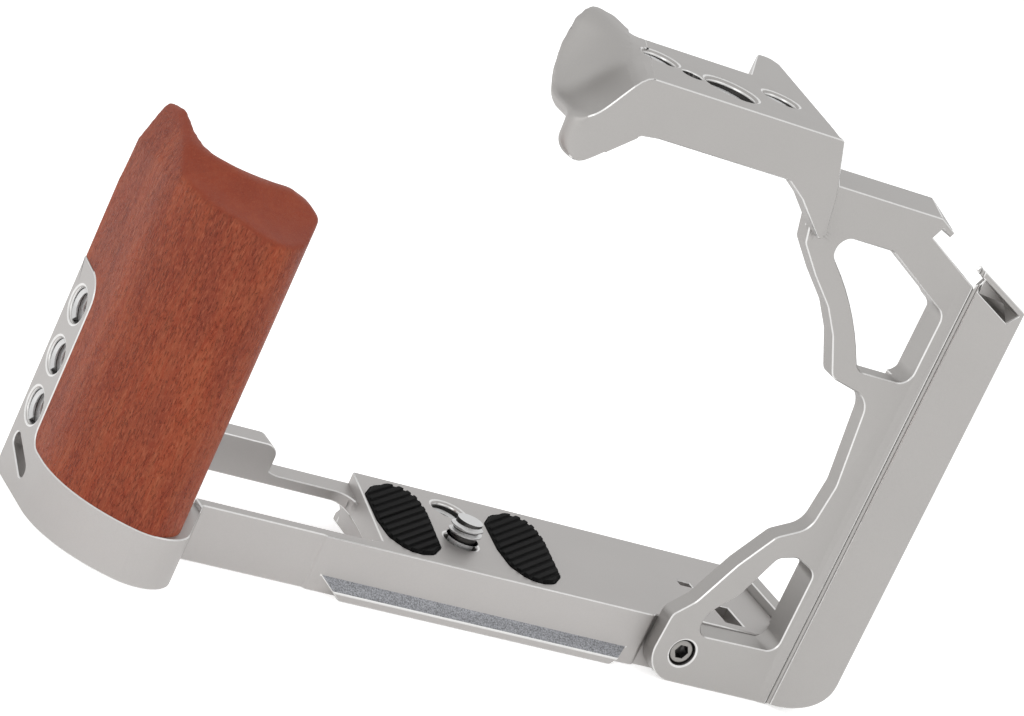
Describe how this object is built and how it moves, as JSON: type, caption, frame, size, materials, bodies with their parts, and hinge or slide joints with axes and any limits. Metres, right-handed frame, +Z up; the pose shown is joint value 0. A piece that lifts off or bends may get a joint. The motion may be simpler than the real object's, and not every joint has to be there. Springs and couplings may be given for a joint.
{
  "type": "camera cage",
  "caption": "Camera half cage: base plate with captive screw and dovetail, wooden front grip, side arm with top arm and saddle wing.",
  "frame": {"origin": "on the axis of the camera screw, in the plane of the underside of the base plate", "axes": "+X towards the side arm, -Y towards the front where the lens looks, +Z up along the camera screw"},
  "size_m": [0.1635, 0.0546, 0.1136],
  "materials": {
    "metal": "bead blasted satin",
    "metal_arm": "bead blasted satin",
    "wood": "oiled, fine dark pores",
    "brass": "machined",
    "steel": "machined",
    "black_steel": "black oxide",
    "nylon": "plain",
    "pad": "ribbed matt",
    "magnet": "nickel plated"
  },
  "bodies": {
    "base": {"base_plate": "metal", "grip_block": "wood", "grip_inserts": "brass", "grip_screws": "steel", "pad_left": "pad", "pad_right": "pad", "key_magnets": "magnet"},
    "arm": {"side_arm": "metal_arm", "guide_pins": "steel"},
    "lock_tip": {"lock_tip": "brass"},
    "lock_screw": {"lock_screw": "steel"},
    "screw_lift": {"screw_washer": "nylon"},
    "camera_screw": {"camera_screw": "steel"},
    "key": {"hex_key": "black_steel"}
  },
  "joints": [
    {"name": "arm_slide", "type": "slide", "parent": "base", "child": "arm", "axis": [1, 0, 0], "range_m": [0, 0.012]},
    {"name": "lock_advance", "type": "slide", "parent": "arm", "child": "lock_tip", "axis": [0, -1, 0], "range_m": [0, 0.0016]},
    {"name": "lock_turn", "type": "hinge", "parent": "lock_tip", "child": "lock_screw", "pos_m": [0.0445, -0.014, 0.0063], "axis": [0, -1, 0], "range_deg": [0, 720]},
    {"name": "screw_lift", "type": "slide", "parent": "base", "child": "screw_lift", "axis": [0, 0, -1], "range_m": [0, 0.0045]},
    {"name": "screw_turn", "type": "hinge", "parent": "screw_lift", "child": "camera_screw", "pos_m": [0, 0, 0.005], "axis": [0, 0, 1], "continuous": true},
    {"name": "key_out", "type": "slide", "parent": "base", "child": "key", "axis": [0, 0, -1], "range_m": [0, 0.03]}
  ],
  "couplings": [
    {"joint": "lock_turn", "follows": "lock_advance", "rad_per_m": 7853.9}
  ]
}
